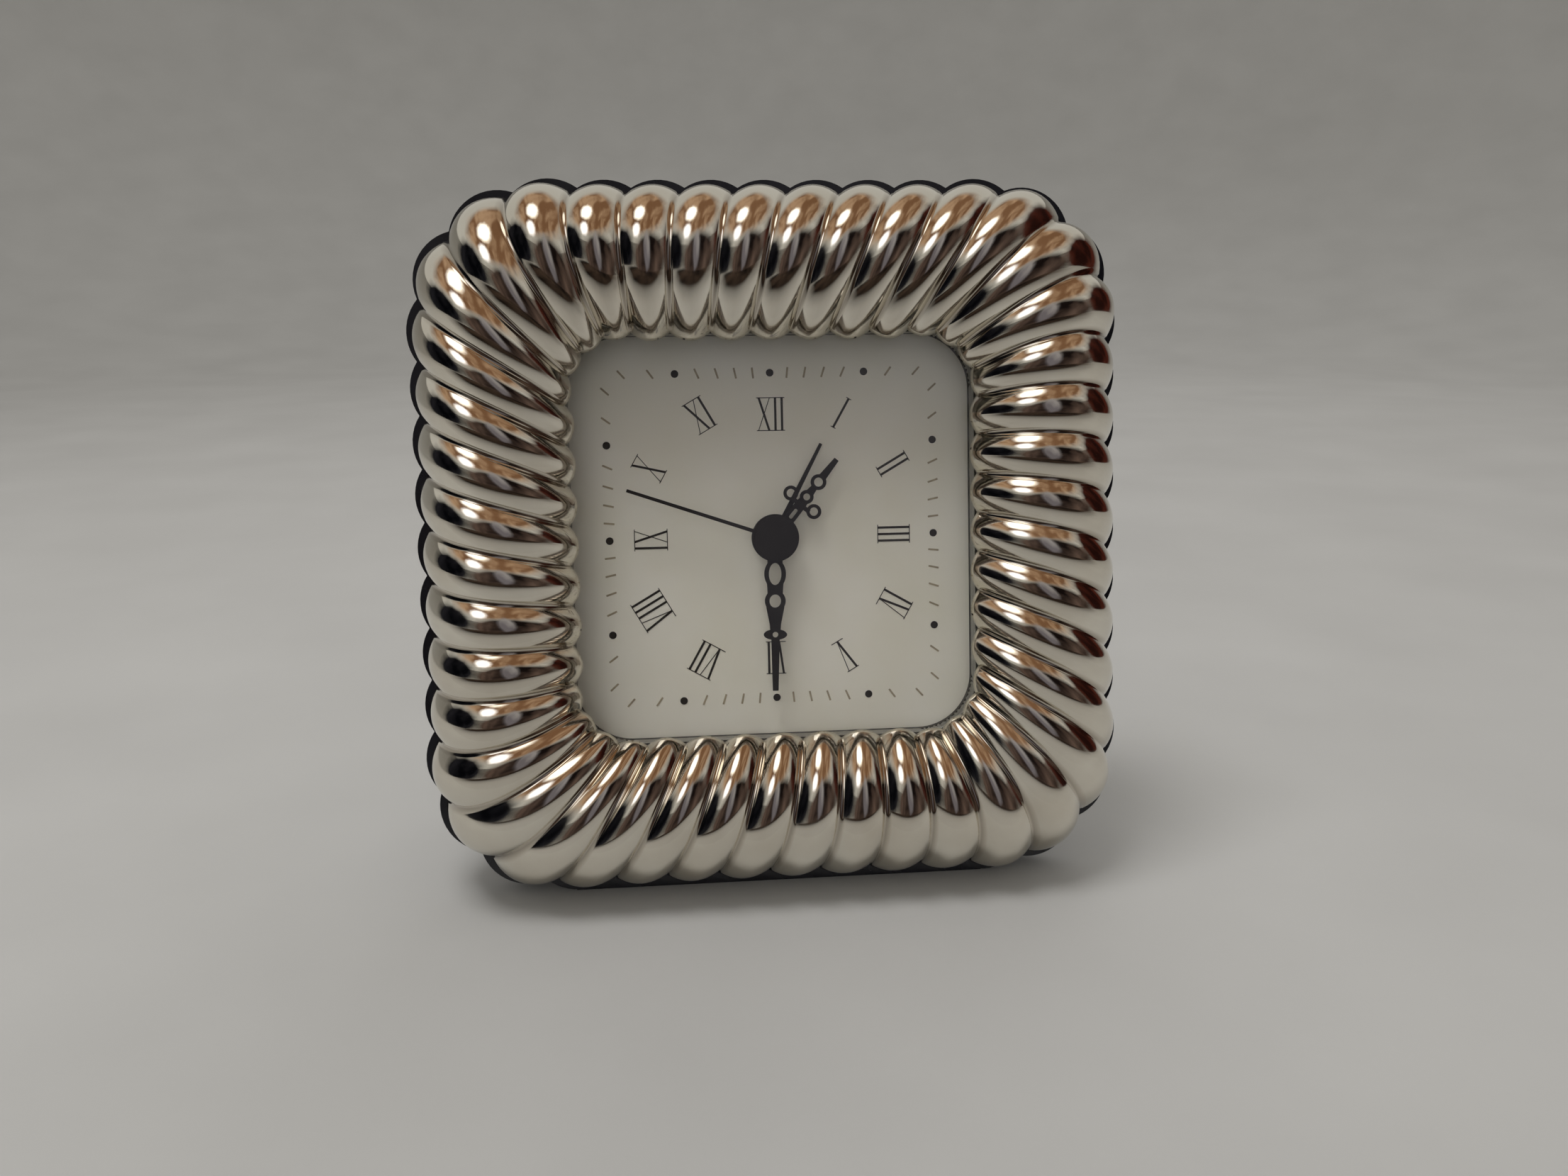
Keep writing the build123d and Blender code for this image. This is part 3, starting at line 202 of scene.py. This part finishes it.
# Gadrooned frame: silver plate drawn over a form, forty-four leaning round lobes that run from the
# rim over the crest to the window. Each lobe is smooth and meets the next in a crisp valley, where a
# little tarnish stays when the rest is polished.
LOBES = 44
SIDE = LOBES / 4
CORNER_FADE = 1.4
RIM_CORNER = 1.4
WINDOW_CORNER = 2.4
RIM_DEPTH = 0.175
WINDOW_DEPTH = 0.26
LOBE_TWIST = 1.0
LOBE_PHASE = 0.45
FRAME_HALF = 54.2
FRAME_RADIUS = 19.5
FRAME_CREST = 12.8
WINDOW_HALF = 30.0
WINDOW_RADIUS = 9.6
WINDOW_EDGE = 4.7
BAND_TURN = math.radians(140)
LEAN = math.radians(10)
ACROSS_CELLS = 14
BAND_CELLS = 60
PLATE = 0.5
SHIFT_BACK = -10.265171
DROP = 55.028110
SLACK = 0.001
SEAM = 0.002
TARNISH_FROM = 0.8
TARNISH_MOST = 0.5


def on_table(x, y, z):
    """A point of the leaning clock face, in mm, set on the table."""
    back = y * math.sin(LEAN) - z * math.cos(LEAN) + SHIFT_BACK
    up = y * math.cos(LEAN) + z * math.sin(LEAN) + DROP
    return Vector((x * MM, back * MM, up * MM))


def side_share(corner):
    """Lobes' worth of straight side between its middle and a corner of so many lobes."""
    return (SIDE - corner - CORNER_FADE) / 2


RIM_STEP = RIM_DEPTH / side_share(RIM_CORNER)
WINDOW_STEP = WINDOW_DEPTH / side_share(WINDOW_CORNER)
CREST_STEP = (RIM_DEPTH + WINDOW_DEPTH) / 2 / side_share((RIM_CORNER + WINDOW_CORNER) / 2)
OUTER_HALF = (FRAME_HALF + RIM_STEP * FRAME_RADIUS) / (1 + RIM_STEP)
INNER_HALF = (WINDOW_HALF - WINDOW_STEP * WINDOW_RADIUS) / (1 - WINDOW_STEP)
BAND_REACH = 1 - math.cos(BAND_TURN)
BAND_HALF = (OUTER_HALF - INNER_HALF) / BAND_REACH
MIDDLE_HALF = OUTER_HALF - BAND_HALF
CREST_LOBE = CREST_STEP * (MIDDLE_HALF - (FRAME_RADIUS + WINDOW_RADIUS) / 2)
LEVEL_RISE = FRAME_CREST - CREST_LOBE - WINDOW_EDGE / BAND_REACH
BAND_RISE = LEVEL_RISE / (1 - math.sin(BAND_TURN) / BAND_REACH)
BAND_DROP = BAND_RISE * math.sin(BAND_TURN) - WINDOW_EDGE


def contour(p, half, radius, corner):
    """Point, outward direction and lobe pitch at the lobe count p of a rounded square."""
    quarter = int((p % LOBES) // SIDE)
    u = p % LOBES - SIDE * quarter
    away = abs(u - SIDE / 2)
    x = min(max((away - corner / 2) / CORNER_FADE, 0), 1)
    weight = 1 - x * x * (3 - 2 * x)
    turned = min(away, corner / 2) + CORNER_FADE * (x - x**3 + x**4 / 2)
    share = corner + CORNER_FADE
    passed = share / 2 + math.copysign(turned, u - SIDE / 2)
    turn = math.pi / 2 * passed / share
    run = (u - passed) / side_share(corner)
    straight = half - radius
    out = Vector((math.sin(turn), math.cos(turn)))
    spot = straight * Vector((run, 1) if run < 1 else (1, 2 - run)) + radius * out
    pitch = straight * (1 - weight) / side_share(corner) + radius * weight * math.pi / 2 / share
    spin = Matrix.Rotation(-math.pi / 2 * quarter, 2)
    return spin @ spot, spin @ out, pitch


def frame_point(lobe, across, t):
    """Point of the frame: which lobe, how far across it, and how far over it from rim to window."""
    angle = BAND_TURN * t
    share = (1 - math.cos(angle)) / BAND_REACH
    half = MIDDLE_HALF + BAND_HALF * math.cos(angle)
    radius = FRAME_RADIUS + (WINDOW_RADIUS - FRAME_RADIUS) * share
    corner = RIM_CORNER + (WINDOW_CORNER - RIM_CORNER) * share
    spot, out, pitch = contour(lobe + across + LOBE_PHASE - LOBE_TWIST * t, half, radius, corner)
    level = BAND_RISE * math.sin(angle) - BAND_DROP * share
    lean_out = BAND_RISE * math.cos(angle) - BAND_DROP / BAND_REACH * math.sin(angle)
    lean_up = BAND_HALF * math.sin(angle)
    depth = RIM_DEPTH + (WINDOW_DEPTH - RIM_DEPTH) * share
    rise = depth * pitch * 4 * across * (1 - across) / math.hypot(lean_out, lean_up)
    spot = spot + rise * lean_out * out
    return on_table(spot.x, spot.y, level + rise * lean_up)


mesh = bmesh.new()
bmesh.ops.create_grid(mesh, x_segments=LOBES * ACROSS_CELLS, y_segments=BAND_CELLS, size=0.5)
valley = mesh.verts.layers.float.new("valley")
for v in mesh.verts:
    count = (v.co.x + 0.5) * LOBES
    lobe = min(math.floor(count + SLACK), LOBES - 1)
    across = min(max(count - lobe, 0), 1)
    v[valley] = abs(2 * across - 1)
    v.co = frame_point(lobe, across, v.co.y + 0.5)
bmesh.ops.remove_doubles(mesh, verts=mesh.verts, dist=SEAM * MM)
bmesh.ops.recalc_face_normals(mesh, faces=mesh.faces)
bmesh.ops.solidify(mesh, geom=mesh.faces, thickness=PLATE * MM)
for face in mesh.faces:
    face.smooth = True
data = bpy.data.meshes.new("gadrooned_frame")
mesh.to_mesh(data)
mesh.free()
gadroon = bpy.data.objects.new("gadrooned_frame", data)
bpy.context.scene.collection.objects.link(gadroon)
silver = surface("silver plate", ("d9d2c4", "e4dfd3"), 10, (0.05, 0.11), 0.8, 0.0008, Metallic=1.0)
tree = silver.node_tree
shader = tree.nodes["Principled BSDF"]
clean = shader.inputs["Base Color"].links[0].from_socket
groove = add(tree, "Attribute", {}, attribute_name="valley").outputs["Fac"]
depth = add(tree, "MapRange", {0: groove, 1: TARNISH_FROM, 2: 1.0, 3: 0.0, 4: TARNISH_MOST}).outputs[0]
tarnish = add(tree, "MixRGB", {"Fac": depth, "Color1": clean, "Color2": srgb("6b5a45")})
tree.links.new(tarnish.outputs[0], shader.inputs["Base Color"])
data.materials.append(silver)
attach(gadroon, "case")
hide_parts("gadrooned_bezel")

# Crystal: a clear acrylic box lid with a level top and small round edges, held under the frame.
# Handling leaves the faintest smear in the polish, which only shows in its reflections.
FLANGE = 1.4
GLASS_HALF = WINDOW_HALF + 2.7
GLASS_RADIUS = WINDOW_RADIUS
GLASS_TOP = 3.9
GLASS_EDGE = 0.6
GLASS_INNER_EDGE = 0.3
GLASS_WALL = 0.9
GLASS_THICKNESS = 1.4
CORNER_CUTS = 24
EDGE_CUTS = 6


def cushion(half, radius, low, high, edge):
    """A square block with round upright corners and a round top edge."""
    mesh = bmesh.new()
    bmesh.ops.create_cube(mesh, size=1)
    bmesh.ops.scale(mesh, verts=mesh.verts, vec=(2 * half, 2 * half, high - low))
    bmesh.ops.translate(mesh, verts=mesh.verts, vec=(0, 0, (low + high) / 2))
    upright = [e for e in mesh.edges if abs(e.verts[0].co.z - e.verts[1].co.z) > SLACK]
    bmesh.ops.bevel(
        mesh, geom=upright, offset=radius, segments=CORNER_CUTS, profile=0.5, affect="EDGES", material=-1
    )
    upper = [e for e in mesh.edges if min(v.co.z for v in e.verts) > high - SLACK]
    bmesh.ops.bevel(
        mesh, geom=upper, offset=edge, segments=EDGE_CUTS, profile=0.5, affect="EDGES", material=-1
    )
    return mesh


mesh = cushion(GLASS_HALF, GLASS_RADIUS, -FLANGE, GLASS_TOP, GLASS_EDGE)
inner = cushion(
    GLASS_HALF - GLASS_WALL,
    GLASS_RADIUS - GLASS_WALL,
    -FLANGE,
    GLASS_TOP - GLASS_THICKNESS,
    GLASS_INNER_EDGE,
)
bmesh.ops.reverse_faces(inner, faces=inner.faces)
hollow = bpy.data.meshes.new("crystal_hollow")
inner.to_mesh(hollow)
inner.free()
mesh.from_mesh(hollow)
bpy.data.meshes.remove(hollow)
under = [f for f in mesh.faces if max(v.co.z for v in f.verts) < SLACK - FLANGE]
bmesh.ops.delete(mesh, geom=under, context="FACES")
rims = [e for e in mesh.edges if len(e.link_faces) == 1]
bmesh.ops.bridge_loops(mesh, edges=rims)
for v in mesh.verts:
    v.co = on_table(*v.co)
bmesh.ops.recalc_face_normals(mesh, faces=mesh.faces)
for face in mesh.faces:
    face.smooth = len(face.verts) == 4
data = bpy.data.meshes.new("crystal_window")
mesh.to_mesh(data)
mesh.free()
glass = bpy.data.objects.new("crystal_window", data)
bpy.context.scene.collection.objects.link(glass)
acrylic = surface(
    "clear acrylic", ("fbfbf8", "ffffff"), 12, (0.0, 0.03), 6, 0.0006, IOR=1.49, Transmission_Weight=1.0
)
data.materials.append(acrylic)
glass.visible_shadow = False
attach(glass, "case")
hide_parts("crystal")

# Back cover, strut, battery door and movement case: black ABS from spark-eroded tools, screwed, hinged
# or slid into place. The tools leave a fine even matt texture, drawn a little coarse here so that it
# shows. The movement's own case is slightly greyer than the rest.
textured = surface("textured black ABS", ("1c1d1f", "27282b"), 7, (0.5, 0.6), 0.35, 0.03, IOR=1.53)
moulded = surface("black moulded ABS", ("242528", "2f3034"), 5, (0.45, 0.55), 0.3, 0.02, IOR=1.53)
paint(textured, "back_cover", "strut_leg", "battery_door")
paint(moulded, "movement_rear_case")

# Setting knobs and alarm switch: small fluted black ABS mouldings, pushed onto their arbors or clipped
# into their slot. Fingers have worn them a little smoother than the cover.
handled = surface("handled black ABS", ("19191a", "252527"), 2, (0.3, 0.45), 0.3, 0.01, IOR=1.53)
paint(handled, "time_setting_knob", "alarm_setting_knob", "alarm_switch")

# Battery cell: a drawn steel can in a plain dark jacket, held by the two contact springs. The lacquer is
# smooth and has a soft shine.
jacket = surface("lacquered steel jacket", ("26282b", "32353a"), 5, (0.25, 0.35), 0.5, 0.004, IOR=1.5)
paint(jacket, "battery_cell")

# Floor and backdrop: one wide round sweep of pale matt paper, level under the clock and curved up into
# a low wall far behind it on every side.
FLOOR_REACH = 2.0
WALL_TOP = 1.0
SWEEP_CURVE = 0.95
SWEEP_CUTS = 24
SWEEP_STEPS = 128
mesh = bmesh.new()
line = [mesh.verts.new(spot) for spot in ((0, 0, 0), (FLOOR_REACH, 0, 0), (FLOOR_REACH, 0, WALL_TOP))]
for i in (0, 1):
    mesh.edges.new(line[i : i + 2])
bmesh.ops.bevel(
    mesh,
    geom=line[1:2],
    offset=SWEEP_CURVE,
    segments=SWEEP_CUTS,
    profile=0.5,
    affect="VERTICES",
    material=-1,
)
bmesh.ops.spin(
    mesh,
    geom=mesh.verts[:] + mesh.edges[:],
    axis=(0, 0, 1),
    cent=(0, 0, 0),
    angle=math.tau,
    steps=SWEEP_STEPS,
    use_merge=True,
)
bmesh.ops.remove_doubles(mesh, verts=mesh.verts, dist=MM)
bmesh.ops.recalc_face_normals(mesh, faces=mesh.faces)
for face in mesh.faces:
    face.smooth = True
data = bpy.data.meshes.new("sweep")
mesh.to_mesh(data)
mesh.free()
sweep = bpy.data.objects.new("sweep", data)
bpy.context.scene.collection.objects.link(sweep)
data.materials.append(surface("pale paper", ("b3b2b0", "b9b8b6"), 60, (0.7, 0.8), 1.5, 0.02, IOR=1.45))

# Lamps: a soft one overhead and a little to the left, and weaker, wider fills behind and in front. The
# pale surround lights the rest evenly.
LAMP_AIM = Vector((0, 0, 0.05))
SURROUND = "d8d6d0"
SURROUND_STRENGTH = 0.75


def soft_lamp(name, place, size, energy):
    """A soft square lamp turned to the clock, which the silver doesn't mirror."""
    lamp = bpy.data.lights.new(name, "AREA")
    lamp.size = size
    lamp.energy = energy
    made = bpy.data.objects.new(name, lamp)
    bpy.context.scene.collection.objects.link(made)
    made.location = place
    made.rotation_euler = (LAMP_AIM - Vector(place)).to_track_quat("-Z", "Y").to_euler()
    made.visible_glossy = False


soft_lamp("overhead lamp", (-0.24, -0.16, 0.95), 0.34, 3.6)
soft_lamp("rear fill", (0.4, 0.8, 1.0), 0.8, 2.4)
soft_lamp("front fill", (-0.1, -0.95, 0.3), 0.6, 1.6)
world = bpy.data.worlds.new("pale surround")
world.use_nodes = True
world.node_tree.nodes["Background"].inputs["Color"].default_value = srgb(SURROUND)
world.node_tree.nodes["Background"].inputs["Strength"].default_value = SURROUND_STRENGTH
bpy.context.scene.world = world
bpy.context.scene.view_settings.view_transform = "Standard"

# Boards: sheets that glow with soft edges and a folded pattern, out of sight, there for the silver and
# the glass to mirror: painted reflections, lit by their own glow. Two stand in for a lamp and a window;
# the others glow dimly as dark, brown and pale things in front, a dark floor mat before the clock, wood
# above it and maroon at its right.
CLOCK_MIDDLE = (0, 0, 0.055)
WAVES = 4.0
WAVE_BEND = 0.15
EDGE_FADE = (0.01, 0.2)
FOLDS = 3.0
FOLD_STRETCH = 0.4
FOLD_SPAN = (0.4, 0.62)


def board(name, centre, width, height, colours, glow, facing=CLOCK_MIDDLE):
    """A glowing board turned to a spot, a painted reflection fading out at its edges and seen only in
    reflections.
    """
    mesh = bmesh.new()
    mesh.loops.layers.uv.new("flat")
    bmesh.ops.create_grid(mesh, x_segments=1, y_segments=1, size=0.5, calc_uvs=True)
    bmesh.ops.scale(mesh, verts=mesh.verts, vec=(width, height, 1))
    turn = (Vector(facing) - Vector(centre)).to_track_quat("Z", "Y").to_matrix().to_4x4()
    bmesh.ops.transform(mesh, matrix=Matrix.Translation(centre) @ turn, verts=mesh.verts)
    data = bpy.data.meshes.new(name)
    mesh.to_mesh(data)
    mesh.free()
    made = bpy.data.objects.new(name, data)
    bpy.context.scene.collection.objects.link(made)
    reflection_glow = bpy.data.materials.new(name)
    reflection_glow.use_nodes = True
    tree = reflection_glow.node_tree
    flat = add(tree, "TexCoord", {}).outputs["UV"]
    wave = add(tree, "TexNoise", {"Vector": flat, "Scale": WAVES, "Detail": 2.0}).outputs["Color"]
    bent = add(tree, "MixRGB", {"Fac": WAVE_BEND, "Color1": flat, "Color2": wave}).outputs[0]
    disc = add(tree, "Mapping", {"Vector": bent, "Location": (-1, -1, 0), "Scale": (2, 2, 0)}).outputs[0]
    edge = add(tree, "TexGradient", {"Vector": disc}, gradient_type="QUADRATIC_SPHERE").outputs["Fac"]
    shown = add(tree, "MapRange", {0: edge, 1: EDGE_FADE[0], 2: EDGE_FADE[1], 3: 0.0, 4: 1.0}).outputs[0]
    folds = add(tree, "Mapping", {"Vector": bent, "Scale": (width, height * FOLD_STRETCH, 1)}).outputs[0]
    folds = add(tree, "TexNoise", {"Vector": folds, "Scale": FOLDS, "Detail": 3.0}).outputs[0]
    reflection_tint = add(tree, "ValToRGB", {"Fac": folds})
    for stop, colour, where in zip(reflection_tint.color_ramp.elements, colours, FOLD_SPAN):
        stop.position = where
        stop.color = srgb(colour)
    glowing = add(tree, "Emission", {"Color": reflection_tint.outputs[0], "Strength": glow}).outputs[0]
    clear = add(tree, "BsdfTransparent", {}).outputs[0]
    both = add(tree, "MixShader", {0: shown, 1: clear, 2: glowing}).outputs[0]
    tree.links.new(both, tree.nodes["Material Output"].inputs["Surface"])
    data.materials.append(reflection_glow)
    made.visible_camera = False
    made.visible_diffuse = False
    made.visible_shadow = False


# Painted reflections: each board glows and is seen only by the silver and the glass, and the lamp glow
# stands in for the overhead lamp's highlight.
board("lamp glow", (-0.2, -0.16, 0.95), 0.5, 0.5, ("fff6e8", "ffffff"), 2.4)
board("window glow", (-0.3, -0.42, 0.6), 0.34, 0.34, ("f0eef2", "ffffff"), 2.0)
board("dark board", (-0.95, -0.3, 0.28), 1.5, 1.2, ("0b0c11", "2b2b31"), 0.6)
board("brown board", (0.12, -0.42, 0.12), 1.5, 0.75, ("1f1817", "7a665d"), 0.6)
board("pale strip", (0.06, -0.38, 0.2), 0.2, 0.5, ("8d8890", "d4d0d2"), 0.6)
board("dark mat reflection", (0.0, -0.45, 0.003), 1.8, 0.8, ("1a1614", "55463c"), 0.6, (0.0, -0.45, 1.0))
board("wood ceiling reflection", (0.0, -0.2, 1.5), 3.8, 3.0, ("8f6a4e", "cfac8c"), 0.75)
board("maroon board", (0.9, 0.1, 0.26), 1.3, 1.2, ("2a1512", "5b2c22"), 0.7)

# Camera: close in front, a little above and to the left of the clock, as a hand-held picture is taken.
# It looks slightly down and to the right.
CAMERA_LENS = 27.67
CAMERA_NEAR = 0.01
CAMERA_PLACE = (-0.0161, -0.19626, 0.09633)
CAMERA_AHEAD = (0.0909, 0.9621, -0.2568)
CAMERA_UP = (0.0299, 0.2552, 0.9665)
lens = bpy.data.cameras.new("camera")
lens.lens = CAMERA_LENS
lens.clip_start = CAMERA_NEAR
camera = bpy.data.objects.new("camera", lens)
bpy.context.scene.collection.objects.link(camera)
ahead = Vector(CAMERA_AHEAD).normalized()
right = ahead.cross(Vector(CAMERA_UP)).normalized()
up = right.cross(ahead)
turn = Matrix((right, up, -ahead)).transposed().to_4x4()
camera.matrix_world = Matrix.Translation(CAMERA_PLACE) @ turn
bpy.context.scene.camera = camera
